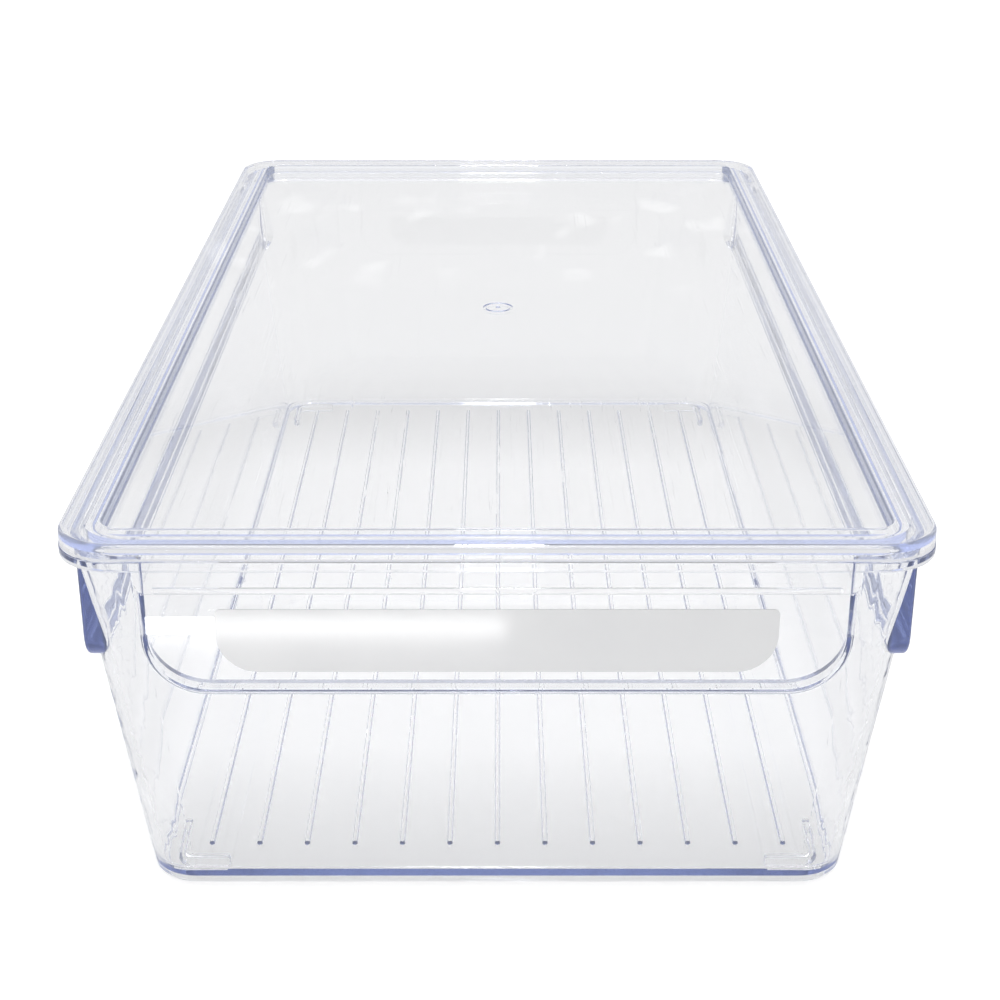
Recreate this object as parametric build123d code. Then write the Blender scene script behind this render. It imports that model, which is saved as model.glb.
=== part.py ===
"""Clear lidded fridge bin: a drafted tub, a lift-off lid and a frosted write-on label.

Millimetres. +Z is up, +X is to the right and -Y is the front, where the pull panel is.
The origin is at the middle of the surface that the bin stands on.
"""
import os

from build123d import *

# ---------------------------------------------------------------- driving dimensions
WIDTH = 203.0            # over the rim, across
LENGTH = 368.0           # over the rim, front to back
HEIGHT = 102.8           # from the feet to the top of the fitted lid
WALL = 2.4               # moulded wall of the tub
SKIN = 2.2               # moulded wall of the lid

# tub
WALL_FOOT = 1.0          # bottom edge of the walls, above the surface the feet stand on
FLOOR_LEVEL = 2.8        # underside of the floor, raised inside the walls
FLOOR = 1.9
BASE_INSET_X = 13.3      # side walls at the floor, in from the rim
BASE_INSET_Y = 15.9      # front and back walls at the floor, in from the rim
MOUTH_INSET = 1.9        # all four walls at their top, in from the rim
BASE_RADIUS = 12.5       # upright corners at the floor
MOUTH_RADIUS = 15.5      # upright corners at the top
BOTTOM_ROUND = 1.4       # outside round under the walls, and inside around the floor
RIM_TOP = HEIGHT - 4.2
RIM_DEPTH = 2.6
RIM_RADIUS = 14.0

# floor ribs and feet
RIB_COUNT = 13
RIB_PITCH = 12.3
RIB_FRONT = -155.0       # ends of the ribs along Y
RIB_BACK = 152.0
RIB_WIDTH = 1.4
RIB_HEIGHT = 0.8
FOOT_HALF_X = 82.8       # outer faces of the L-shaped feet under the floor
FOOT_FRONT = -160.2
FOOT_BACK = 162.0
FOOT_LEG_X = 14.3        # length of the arm across and of the arm along the bin
FOOT_LEG_Y = 18.5
FOOT_WIDTH = 2.2
FOOT_BEND = 4.4          # outer radius where the two arms meet
FOOT_ROUND = 0.9         # bottom edges of the feet

# front pull panel: a U-shaped bulge of the front wall, upright and nearly flush with the rim
PANEL_FACE = LENGTH / 2 - 1.0
PANEL_HALF = 82.2
PANEL_BOTTOM = HEIGHT - 39.2
PANEL_CORNER = 15.0
PANEL_EDGE_ROUND = 1.6
PANEL_WALL = 1.7
PANEL_SPREAD = 10.0      # angle by which the hollow behind the panel widens into the tub
PANEL_INNER_ROUND = 0.7  # where that hollow meets the inside of the front wall
LIP_FACE = LENGTH / 2 - 0.6
LIP_HALF = 82.8
LIP_CORNER = 3.0
BEAD_LEVEL = HEIGHT - 11.6
BEAD_RADIUS = 1.0
BEAD_HALF = 77.8

# side grips: solid U-shaped rails between the leaning wall and an upright outer face
GRIP_FACE = WIDTH / 2 - 4.4
GRIP_HALF = 175.0
GRIP_BOTTOM = HEIGHT - 34.9
GRIP_CORNER = 7.0
GRIP_EDGE_ROUND = 1.0

# lid
LID_GAP = 0.2            # lid outline, in from the rim outline
SEAT_GAP = 0.2           # between the skirt of the lid and the top of the rim
LID_PLATE = 2.5          # border plate
RECESS_INSET = 10.2      # step of the sunk middle, in from the rim
RECESS_DEPTH = 3.2
RECESS_RADIUS = 4.5
LOCATOR_INSET = 5.2      # rib that drops inside the mouth of the tub
LOCATOR_WIDTH = 1.8
LOCATOR_BOTTOM = RIM_TOP - 4.4
LOCATOR_RADIUS = 12.4
GATE_RADIUS = 4.7        # round moulding mark in the middle of the lid
GATE_RING = 0.9
GATE_DEPTH = 0.4

# label
LABEL_HALF = 64.6
LABEL_TOP = HEIGHT - 16.3
LABEL_BOTTOM = HEIGHT - 32.5
LABEL_TOP_CORNER = 1.5
LABEL_BOTTOM_CORNER = 9.5
LABEL_THICK = 0.25

OVERCUT = 5.0            # how far a cutting block runs past the face it opens
SMALL_ROUND = 0.6


def rounded_slab(inset, bottom, top, radius):
    """Upright block that follows the rim outline at an inset, with rounded corners."""
    outline = RectangleRounded(WIDTH - 2 * inset, LENGTH - 2 * inset, radius)
    return Pos(0, 0, bottom) * extrude(outline, top - bottom)


def tub_outline(thickness, level):
    """Outline of the leaning walls at a level, shrunk by a wall thickness."""
    rise = (level - WALL_FOOT) / (RIM_TOP - WALL_FOOT)
    inset_x = BASE_INSET_X + (MOUTH_INSET - BASE_INSET_X) * rise + thickness
    inset_y = BASE_INSET_Y + (MOUTH_INSET - BASE_INSET_Y) * rise + thickness
    radius = BASE_RADIUS + (MOUTH_RADIUS - BASE_RADIUS) * rise - thickness
    outline = RectangleRounded(WIDTH - 2 * inset_x, LENGTH - 2 * inset_y, radius)
    return Pos(0, 0, level) * outline


def tub_block(thickness, bottom, top):
    """Tub form that widens upward, shrunk by a wall thickness on every side."""
    return loft([tub_outline(thickness, bottom), tub_outline(thickness, top)], ruled=True)


def u_block(half, bottom, top, corner, depth, spread=0):
    """Block with a U outline in X and Z, front face at Y = 0, spreading behind by an angle."""
    outline = Rectangle(2 * half, top - bottom)
    low_corners = outline.vertices().sort_by(Axis.Y)[:2]
    outline = fillet(low_corners, corner)
    upright = Plane.XZ * Pos(0, (top + bottom) / 2) * outline
    return extrude(upright, -depth, taper=-spread)


def front_rim_edges(block):
    """Edges of a u_block's front face, without its straight top edge."""
    front = block.faces().sort_by(Axis.Y)[0]
    return front.edges().sort_by(lambda edge: edge.center().Z)[:-1]


def pull_panel():
    """Outside of the front bulge, with the deeper lip and the bead above it."""
    depth = PANEL_FACE - (LENGTH / 2 - BASE_INSET_Y) + PANEL_WALL
    top = RIM_TOP - RIM_DEPTH / 2
    bulge = u_block(PANEL_HALF, PANEL_BOTTOM, top, PANEL_CORNER, depth)
    bulge = fillet(front_rim_edges(bulge), PANEL_EDGE_ROUND)
    lip = u_block(LIP_HALF, BEAD_LEVEL - BEAD_RADIUS, top, LIP_CORNER, depth / 4)
    lip = fillet(front_rim_edges(lip), LIP_FACE - PANEL_FACE)
    bead = Rot(0, 90, 0) * Cylinder(BEAD_RADIUS, 2 * BEAD_HALF)
    for side in (-1, 1):
        bead += Pos(side * BEAD_HALF, 0, 0) * Sphere(BEAD_RADIUS)
    return (
        Pos(0, -PANEL_FACE, 0) * bulge
        + Pos(0, -LIP_FACE, 0) * lip
        + Pos(0, -PANEL_FACE, BEAD_LEVEL) * bead
    )


def panel_pocket():
    """Hollow behind the pull panel."""
    pocket = u_block(
        PANEL_HALF - PANEL_WALL,
        PANEL_BOTTOM + PANEL_WALL,
        RIM_TOP + OVERCUT,
        PANEL_CORNER - PANEL_WALL,
        BASE_INSET_Y,
        PANEL_SPREAD,
    )
    return Pos(0, PANEL_WALL - PANEL_FACE, 0) * pocket


def tub_hollow():
    """Inside of the tub with the panel hollow, blended where the two meet."""
    hollow = tub_block(WALL, FLOOR_LEVEL + FLOOR, RIM_TOP + OVERCUT)
    hollow = fillet(hollow.edges().group_by(Axis.Z)[0], BOTTOM_ROUND)
    hollow += panel_pocket()
    near_front = hollow.edges().filter_by_position(Axis.Y, -PANEL_FACE, BASE_INSET_Y - LENGTH / 2)
    around_panel = near_front.filter_by_position(Axis.Z, PANEL_BOTTOM, RIM_TOP)
    meeting = around_panel.filter_by_position(Axis.X, -PANEL_HALF, PANEL_HALF)
    return fillet(meeting.filter_by(GeomType.BSPLINE), PANEL_INNER_ROUND)


def side_grips():
    """The two long side rails, mirrored."""
    depth = GRIP_FACE - (WIDTH / 2 - BASE_INSET_X) + WALL
    rail = u_block(GRIP_HALF, GRIP_BOTTOM, RIM_TOP - RIM_DEPTH / 2, GRIP_CORNER, depth)
    rail = fillet(front_rim_edges(rail), GRIP_EDGE_ROUND)
    left = Pos(-GRIP_FACE, 0, 0) * (Rot(0, 0, -90) * rail)
    return left + mirror(left, Plane.YZ)


def floor_ribs():
    """Low ribs along the floor, with round ends and softened tops."""
    outline = SlotOverall(RIB_BACK - RIB_FRONT, RIB_WIDTH, rotation=90)
    rib = extrude(outline, RIB_HEIGHT + FLOOR / 2)
    rib = fillet(rib.edges().group_by(Axis.Z)[-1], SMALL_ROUND)
    first = -(RIB_COUNT - 1) / 2 * RIB_PITCH
    middle = (RIB_BACK + RIB_FRONT) / 2
    level = FLOOR_LEVEL + FLOOR / 2
    return [Pos(first + index * RIB_PITCH, middle, level) * rib for index in range(RIB_COUNT)]


def corner_feet():
    """Four L-shaped feet that stand in the sunk lid of the bin below."""
    across = Pos(-FOOT_LEG_X / 2, -FOOT_WIDTH / 2) * Rectangle(FOOT_LEG_X, FOOT_WIDTH)
    along = Pos(-FOOT_WIDTH / 2, -FOOT_LEG_Y / 2) * Rectangle(FOOT_WIDTH, FOOT_LEG_Y)
    outline = across + along
    outline = fillet(outline.vertices().sort_by(lambda v: v.X + v.Y)[-2], FOOT_BEND - FOOT_WIDTH)
    outline = fillet(outline.vertices().sort_by(lambda v: v.X + v.Y)[-1], FOOT_BEND)
    outline = fillet(outline.vertices().sort_by(lambda v: v.X + v.Y)[:4], FOOT_WIDTH / 2 - 0.1)
    foot = extrude(outline, FLOOR_LEVEL + FLOOR / 2)
    foot = fillet(foot.edges().group_by(Axis.Z)[0], FOOT_ROUND)
    back_foot = Pos(FOOT_HALF_X, FOOT_BACK, 0) * foot
    front_foot = Pos(FOOT_HALF_X, FOOT_FRONT, 0) * mirror(foot, Plane.XZ)
    right_pair = [back_foot, front_foot]
    return right_pair + [mirror(one, Plane.YZ) for one in right_pair]


def make_bin_body():
    shell = tub_block(0, WALL_FOOT, RIM_TOP)
    shell = fillet(shell.edges().group_by(Axis.Z)[0], BOTTOM_ROUND)
    rim = rounded_slab(0, RIM_TOP - RIM_DEPTH, RIM_TOP, RIM_RADIUS)
    rim = fillet(rim.edges().group_by(Axis.Z)[0], SMALL_ROUND)
    rim = fillet(rim.edges().group_by(Axis.Z)[-1], SMALL_ROUND / 2)
    underside = tub_block(WALL, WALL_FOOT - OVERCUT, FLOOR_LEVEL)
    body = shell + rim + pull_panel() + side_grips()
    body = body - tub_hollow() - underside
    for detail in floor_ribs() + corner_feet():
        body += detail
    return body


def make_lid():
    top = HEIGHT
    plate_bottom = HEIGHT - LID_PLATE
    panel_top = HEIGHT - RECESS_DEPTH
    panel_bottom = panel_top - SKIN
    outline_radius = RIM_RADIUS - LID_GAP
    lid = rounded_slab(LID_GAP, RIM_TOP + SEAT_GAP, top, outline_radius)
    lid = fillet(lid.edges().group_by(Axis.Z)[-1], SKIN / 2)
    under = rounded_slab(LID_GAP + SKIN, RIM_TOP - OVERCUT, plate_bottom, outline_radius - SKIN)
    lid -= under
    step = rounded_slab(RECESS_INSET - SKIN, panel_bottom, plate_bottom, RECESS_RADIUS + SKIN)
    step = fillet(step.edges().group_by(Axis.Z)[0], SMALL_ROUND)
    locator = rounded_slab(LOCATOR_INSET, LOCATOR_BOTTOM, plate_bottom, LOCATOR_RADIUS)
    locator = fillet(locator.edges().group_by(Axis.Z)[0], SMALL_ROUND)
    locator -= rounded_slab(
        LOCATOR_INSET + LOCATOR_WIDTH,
        LOCATOR_BOTTOM - OVERCUT,
        plate_bottom,
        LOCATOR_RADIUS - LOCATOR_WIDTH,
    )
    sunk = rounded_slab(RECESS_INSET, panel_top, top + OVERCUT, RECESS_RADIUS)
    sunk = fillet(sunk.edges().group_by(Axis.Z)[0], SMALL_ROUND)
    lid = lid + step + locator - sunk
    mouth = lid.edges().filter_by_position(Axis.Z, top - 0.01, top + 0.01)
    inner_half = WIDTH / 2 - RECESS_INSET + 0.01
    recess_edges = [
        edge for edge in mouth
        if edge.bounding_box().max.X <= inner_half and edge.bounding_box().min.X >= -inner_half
        and abs(edge.center().Y) <= LENGTH / 2 - RECESS_INSET + 0.01
    ]
    lid = fillet(recess_edges, SMALL_ROUND)
    ring = Cylinder(GATE_RADIUS, 2 * GATE_DEPTH) - Cylinder(GATE_RADIUS - GATE_RING, 2 * GATE_DEPTH)
    dimple = Sphere(GATE_RING)
    lid -= Pos(0, 0, panel_top) * ring
    lid -= Pos(0, 0, panel_top + GATE_RING - GATE_DEPTH) * dimple
    return lid


def make_label_film():
    """Frosted film on the pull panel, its lower corners rounder to follow the panel."""
    outline = Rectangle(2 * LABEL_HALF, LABEL_TOP - LABEL_BOTTOM)
    outline = fillet(outline.vertices().sort_by(Axis.Y)[:2], LABEL_BOTTOM_CORNER)
    outline = fillet(outline.vertices().sort_by(Axis.Y)[-2:], LABEL_TOP_CORNER)
    upright = Plane.XZ * Pos(0, (LABEL_TOP + LABEL_BOTTOM) / 2) * outline
    return Pos(0, -PANEL_FACE, 0) * extrude(upright, LABEL_THICK)


def main():
    os.makedirs("parts", exist_ok=True)
    pieces = {
        "bin_body": make_bin_body(),
        "lid": make_lid(),
        "label_film": make_label_film(),
    }
    for name, piece in pieces.items():
        export_step(piece, f"parts/{name}.step")


main()
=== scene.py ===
"""Looks for the clear lidded fridge bin: clear plastic, frosted label, pale floor, studio light."""
import math

import bpy
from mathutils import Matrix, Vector

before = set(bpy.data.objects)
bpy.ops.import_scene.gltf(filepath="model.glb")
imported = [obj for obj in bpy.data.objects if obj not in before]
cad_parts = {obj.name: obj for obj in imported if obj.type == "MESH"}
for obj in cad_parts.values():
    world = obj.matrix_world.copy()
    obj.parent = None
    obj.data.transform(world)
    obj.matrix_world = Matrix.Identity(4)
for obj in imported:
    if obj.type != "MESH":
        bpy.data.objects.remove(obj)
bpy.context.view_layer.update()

# lengths are in metres, colours are linear
POLYSTYRENE_IOR = 1.58
DEPTH_TINT = (0.50, 0.56, 0.76, 1)      # colour left after a long way through the plastic
STEP_PAINTED_SHADE = (0.20, 0.23, 0.36, 1)       # painted shade: darker blue base colour on the side steps of the sunk middle, standing in for light running inside the plastic
TUB_DENSITY, LID_DENSITY = 11.0, 8.0    # how fast the plastic takes on the depth tint
TUB_PAINTED_GLOW = (0.48, 0.55, 0.78)           # painted glow, tub then lid: the plastic gives off light, standing in for light trapped inside it
LID_PAINTED_GLOW = (1.7, 1.75, 1.85)
TUB_SCUFFS, LID_SCUFFS = 0.05, 0.3      # strength of the hairlines
RECESS_HALF = (0.0922, 0.175)           # half width and length around the steps of the recess that carry the painted shade

FLOOR_HALF = 3.0
FLOOR_DROP = 0.0002                     # gap under the feet
# floor glow: under the bin (painted light filling in its shadow), away from it, and where seen
# directly
FLOOR_UNDER_PAINTED_LIGHT, FLOOR_AWAY, FLOOR_DIRECT = 0.79, 0.36, 0.75
FLOOR_PAINTED_LIGHT_FADES = ((0.086, 0.12), (0.10, 0.20))  # where the painted light under the bin fades, along X and along Y

WORLD_ELSEWHERE, WORLD_DIRECT = 0.82, 1.10
WORLD_LOW, WORLD_HIGH = (1.0, 1.0, 1.0, 1), (0.70, 0.71, 0.74, 1)
PATCH_COLOR = (1.25, 1.25, 1.25, 1)
PATCH_BAND = ((0.24, 0.26), (0.28, 0.30))    # the patches fade in and out between these heights

FOCAL_LENGTH, SENSOR_WIDTH = 67.5, 36.0      # in millimetres
CAMERA_PLACE = (0.00065, -0.5644, 0.2810)
CAMERA_PITCH = 23.69                         # degrees below level
LIGHT_BOUNCES = 72                           # light runs far inside clear plastic


# ---------------------------------------------------------------- node helpers
def new_material(name):
    """An empty node material with its output node."""
    material = bpy.data.materials.new(name)
    material.use_nodes = True
    tree = material.node_tree
    tree.nodes.clear()
    output = tree.nodes.new("ShaderNodeOutputMaterial")
    return material, tree, output


def stretched_noise(tree, stretch, scale, detail, turn=0.0, coordinates="Object"):
    """Noise in the piece's own coordinates, squeezed or stretched along its axes."""
    coords = tree.nodes.new("ShaderNodeTexCoord")
    mapping = tree.nodes.new("ShaderNodeMapping")
    mapping.inputs["Scale"].default_value = stretch
    mapping.inputs["Rotation"].default_value = (0, 0, math.radians(turn))
    noise = tree.nodes.new("ShaderNodeTexNoise")
    noise.inputs["Scale"].default_value = scale
    noise.inputs["Detail"].default_value = detail
    tree.links.new(coords.outputs[coordinates], mapping.inputs["Vector"])
    tree.links.new(mapping.outputs["Vector"], noise.inputs["Vector"])
    return noise.outputs["Fac"]


def remap(tree, value, low, high, out_low, out_high):
    """Clamped linear remap of a value."""
    node = tree.nodes.new("ShaderNodeMapRange")
    node.inputs["From Min"].default_value = low
    node.inputs["From Max"].default_value = high
    node.inputs["To Min"].default_value = out_low
    node.inputs["To Max"].default_value = out_high
    tree.links.new(value, node.inputs["Value"])
    return node.outputs["Result"]


def bump(tree, height, distance, strength, under=None):
    """Bump from a height, optionally on top of another bump."""
    node = tree.nodes.new("ShaderNodeBump")
    node.inputs["Distance"].default_value = distance
    node.inputs["Strength"].default_value = strength
    tree.links.new(height, node.inputs["Height"])
    if under is not None:
        tree.links.new(under, node.inputs["Normal"])
    return node.outputs["Normal"]


def math_node(tree, operation, first, second=0.0):
    """Math on a value and either another value or a constant."""
    node = tree.nodes.new("ShaderNodeMath")
    node.operation = operation
    tree.links.new(first, node.inputs[0])
    if isinstance(second, float):
        node.inputs[1].default_value = second
    else:
        tree.links.new(second, node.inputs[1])
    return node.outputs["Value"]


def offsets_from_middle(tree):
    """Distances from the middle of the object along X and Y."""
    coords = tree.nodes.new("ShaderNodeTexCoord")
    split = tree.nodes.new("ShaderNodeSeparateXYZ")
    tree.links.new(coords.outputs["Object"], split.inputs["Vector"])
    return [math_node(tree, "ABSOLUTE", split.outputs[axis]) for axis in ("X", "Y")]


def side_faces_within(tree, half_x, half_y):
    """One on faces that look sideways inside a rectangle around the middle, zero elsewhere."""
    geometry = tree.nodes.new("ShaderNodeNewGeometry")
    split = tree.nodes.new("ShaderNodeSeparateXYZ")
    tree.links.new(geometry.outputs["True Normal"], split.inputs["Vector"])
    sideways = math_node(tree, "ABSOLUTE", split.outputs["X"])
    mask = math_node(tree, "GREATER_THAN", sideways, 0.5)
    for offset, half in zip(offsets_from_middle(tree), (half_x, half_y)):
        mask = math_node(tree, "MULTIPLY", mask, math_node(tree, "LESS_THAN", offset, half))
    return mask


# ---------------------------------------------------------------- materials
def clear_plastic(name, scuffs, density, painted_glow, recess=None):
    """Clear polystyrene: glossy, slow mould ripple, fine hairlines, faint haze, blue in depth,
    painted glow.

    recess gives the half sizes of the rectangle whose side steps carry a painted shade, a darker
    blue base colour.
    """
    material, tree, output = new_material(name)
    surface = tree.nodes.new("ShaderNodeBsdfPrincipled")
    surface.inputs["Base Color"].default_value = (1, 1, 1, 1)
    surface.inputs["Transmission Weight"].default_value = 1.0
    surface.inputs["IOR"].default_value = POLYSTYRENE_IOR
    # Painted shade: the side steps of the recess get a darker blue base colour, standing in for
    # light running inside the plastic.
    if recess is not None:
        painted_step_shade = tree.nodes.new("ShaderNodeValToRGB")
        painted_step_shade.color_ramp.elements[0].color = (1, 1, 1, 1)
        painted_step_shade.color_ramp.elements[1].color = STEP_PAINTED_SHADE
        tree.links.new(side_faces_within(tree, *recess), painted_step_shade.inputs["Fac"])
        tree.links.new(painted_step_shade.outputs["Color"], surface.inputs["Base Color"])
    ripple = stretched_noise(tree, (1, 1, 1), 18, 1)
    normal = bump(tree, ripple, 0.00025, 0.02)
    hairs = stretched_noise(tree, (1, 0.02, 1), 1400, 0, turn=4)
    hairs = remap(tree, hairs, 0.74, 0.80, 0.0, 1.0)
    normal = bump(tree, hairs, 0.00002, scuffs, normal)
    tree.links.new(normal, surface.inputs["Normal"])
    haze = stretched_noise(tree, (1, 1, 1), 40, 3)
    tree.links.new(remap(tree, haze, 0.62, 0.80, 0.0, 0.06), surface.inputs["Roughness"])
    tree.links.new(surface.outputs["BSDF"], output.inputs["Surface"])
    tint = tree.nodes.new("ShaderNodeVolumeAbsorption")
    tint.inputs["Color"].default_value = DEPTH_TINT
    tint.inputs["Density"].default_value = density
    # Painted glow: the plastic gives off light of its own, standing in for light trapped inside it.
    glow = tree.nodes.new("ShaderNodeEmission")
    glow.inputs["Color"].default_value = (*painted_glow, 1)
    glow.inputs["Strength"].default_value = 1.0
    both = tree.nodes.new("ShaderNodeAddShader")
    tree.links.new(tint.outputs["Volume"], both.inputs[0])
    tree.links.new(glow.outputs["Emission"], both.inputs[1])
    tree.links.new(both.outputs["Shader"], output.inputs["Volume"])
    return material


def frosted_film(name):
    """Frosted film: satin, milky, a little see-through, with a very fine grain and a faint painted
    glow.
    """
    material, tree, output = new_material(name)
    surface = tree.nodes.new("ShaderNodeBsdfPrincipled")
    tone = stretched_noise(tree, (1, 1, 1), 60, 3)
    ramp = tree.nodes.new("ShaderNodeValToRGB")
    ramp.color_ramp.elements[0].position = 0.3
    ramp.color_ramp.elements[0].color = (0.77, 0.77, 0.775, 1)
    ramp.color_ramp.elements[1].position = 0.7
    ramp.color_ramp.elements[1].color = (0.80, 0.80, 0.80, 1)
    tree.links.new(tone, ramp.inputs["Fac"])
    tree.links.new(ramp.outputs["Color"], surface.inputs["Base Color"])
    grain = stretched_noise(tree, (1, 1, 1), 4000, 2)
    tree.links.new(bump(tree, grain, 0.00002, 0.1), surface.inputs["Normal"])
    tree.links.new(remap(tree, tone, 0.3, 0.7, 0.09, 0.11), surface.inputs["Roughness"])
    # Painted glow: the film gives off faint light of its own, standing in for light coming through
    # it from behind.
    surface.inputs["Emission Color"].default_value = (0.98, 0.99, 1.0, 1.0)
    surface.inputs["Emission Strength"].default_value = 0.10
    surface.inputs["Alpha"].default_value = 0.88
    tree.links.new(surface.outputs["BSDF"], output.inputs["Surface"])
    return material


# ---------------------------------------------------------------- stage
def seen_directly(tree, elsewhere, direct):
    """One value for what is seen directly, another for light, reflections and refractions."""
    path = tree.nodes.new("ShaderNodeLightPath")
    return remap(tree, path.outputs["Is Camera Ray"], 0.0, 1.0, elsewhere, direct)


def make_floor():
    """Pale matt floor just under the feet; seen through the plastic it carries painted light,
    brightest under the bin, filling in the bin's shadow.
    """
    mesh = bpy.data.meshes.new("floor")
    signs = ((-1, -1), (1, -1), (1, 1), (-1, 1))
    corners = [(x * FLOOR_HALF, y * FLOOR_HALF, 0) for x, y in signs]
    mesh.from_pydata(corners, [], [(0, 1, 2, 3)])
    floor = bpy.data.objects.new("floor", mesh)
    floor.location.z = -FLOOR_DROP
    bpy.context.scene.collection.objects.link(floor)
    material, tree, output = new_material("pale_floor")
    surface = tree.nodes.new("ShaderNodeBsdfPrincipled")
    surface.inputs["Base Color"].default_value = (0.5, 0.5, 0.5, 1)
    surface.inputs["Roughness"].default_value = 1.0
    surface.inputs["Specular IOR Level"].default_value = 0.0
    surface.inputs["Emission Color"].default_value = (1, 1, 1, 1)
    # Painted light: seen other than directly, the floor glows brightest under the bin, filling in
    # the bin's shadow.
    painted_light_fades = [
        remap(tree, offset, start, end, FLOOR_UNDER_PAINTED_LIGHT, FLOOR_AWAY)
        for offset, (start, end) in zip(offsets_from_middle(tree), FLOOR_PAINTED_LIGHT_FADES)
    ]
    painted_light_under_bin = math_node(tree, "MINIMUM", *painted_light_fades)
    direct = seen_directly(tree, 0.0, FLOOR_DIRECT)
    strength = math_node(tree, "MAXIMUM", painted_light_under_bin, direct)
    tree.links.new(strength, surface.inputs["Emission Strength"])
    tree.links.new(surface.outputs["BSDF"], output.inputs["Surface"])
    mesh.materials.append(material)


def make_world():
    """Pale near the horizon, greyer overhead, soft bright patches, white where seen directly."""
    world = bpy.data.worlds.new("studio")
    bpy.context.scene.world = world
    world.use_nodes = True
    tree = world.node_tree
    tree.nodes.clear()
    output = tree.nodes.new("ShaderNodeOutputWorld")
    background = tree.nodes.new("ShaderNodeBackground")
    coords = tree.nodes.new("ShaderNodeTexCoord")
    split = tree.nodes.new("ShaderNodeSeparateXYZ")
    ramp = tree.nodes.new("ShaderNodeValToRGB")
    tree.links.new(coords.outputs["Generated"], split.inputs["Vector"])
    tree.links.new(split.outputs["Z"], ramp.inputs["Fac"])
    ramp.color_ramp.elements[0].position = 0.30
    ramp.color_ramp.elements[0].color = WORLD_LOW
    ramp.color_ramp.elements[1].position = 0.85
    ramp.color_ramp.elements[1].color = WORLD_HIGH
    clouds = stretched_noise(tree, (1, 1, 2), 38, 1, coordinates="Generated")
    patches = remap(tree, clouds, 0.60, 0.70, 0.0, 1.0)
    fade_in = remap(tree, split.outputs["Z"], *PATCH_BAND[0], 0.0, 1.0)
    fade_out = remap(tree, split.outputs["Z"], *PATCH_BAND[1], 1.0, 0.0)
    band = math_node(tree, "MULTIPLY", fade_in, fade_out)
    patches = math_node(tree, "MULTIPLY", patches, band)
    glow = tree.nodes.new("ShaderNodeMixRGB")
    glow.inputs["Color2"].default_value = PATCH_COLOR
    tree.links.new(patches, glow.inputs["Fac"])
    tree.links.new(ramp.outputs["Color"], glow.inputs["Color1"])
    tree.links.new(glow.outputs["Color"], background.inputs["Color"])
    strength = seen_directly(tree, WORLD_ELSEWHERE, WORLD_DIRECT)
    tree.links.new(strength, background.inputs["Strength"])
    tree.links.new(background.outputs["Background"], output.inputs["Surface"])


def area_light(name, place, target, size_x, size_y, power):
    """Rectangular light at a place, turned to a target and not seen itself; power in watts."""
    data = bpy.data.lights.new(name, "AREA")
    data.shape = "RECTANGLE"
    data.size = size_x
    data.size_y = size_y
    data.energy = power
    light = bpy.data.objects.new(name, data)
    light.location = place
    aim = Vector(target) - Vector(place)
    light.rotation_euler = aim.to_track_quat("-Z", "Y").to_euler()
    light.visible_camera = False
    bpy.context.scene.collection.objects.link(light)
    return light


def make_lights():
    """Soft light from above, a strip for the glare on the lid, a low window for the front."""
    area_light("top_softbox", (0, 0, 1.6), (0, 0, 0), 1.6, 1.6, 6)
    area_light("top_strip", (0, 0.2, 1.3), (0, 0, 0.1), 0.08, 0.6, 6)
    place, target = (-0.056, -0.333, 0.004), (-0.056, -0.183, 0.004)
    window = area_light("low_window", place, target, 0.117, 0.0065, 0.028)
    window.visible_transmission = False


def make_camera():
    """Camera in front of and above the bin, looking down at it."""
    data = bpy.data.cameras.new("camera")
    data.lens = FOCAL_LENGTH
    data.sensor_width = SENSOR_WIDTH
    data.clip_start = 0.01
    camera = bpy.data.objects.new("camera", data)
    camera.location = CAMERA_PLACE
    camera.rotation_euler = (math.radians(90 - CAMERA_PITCH), 0, 0)
    bpy.context.scene.collection.objects.link(camera)
    bpy.context.scene.camera = camera


def set_render_look():
    """Plain colours, and enough bounces for light that runs inside the walls."""
    scene = bpy.context.scene
    scene.view_settings.view_transform = "Standard"
    scene.cycles.max_bounces = LIGHT_BOUNCES
    scene.cycles.transmission_bounces = LIGHT_BOUNCES
    scene.cycles.glossy_bounces = LIGHT_BOUNCES
    scene.cycles.transparent_max_bounces = 16


make_camera()
make_world()
make_floor()
make_lights()
set_render_look()

looks = {
    "bin_body": clear_plastic("clear_tub", TUB_SCUFFS, TUB_DENSITY, TUB_PAINTED_GLOW),
    "lid": clear_plastic("clear_lid", LID_SCUFFS, LID_DENSITY, LID_PAINTED_GLOW, RECESS_HALF),
    "label_film": frosted_film("frosted_label"),
}
for node, material in looks.items():
    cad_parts[node].data.materials[0] = material
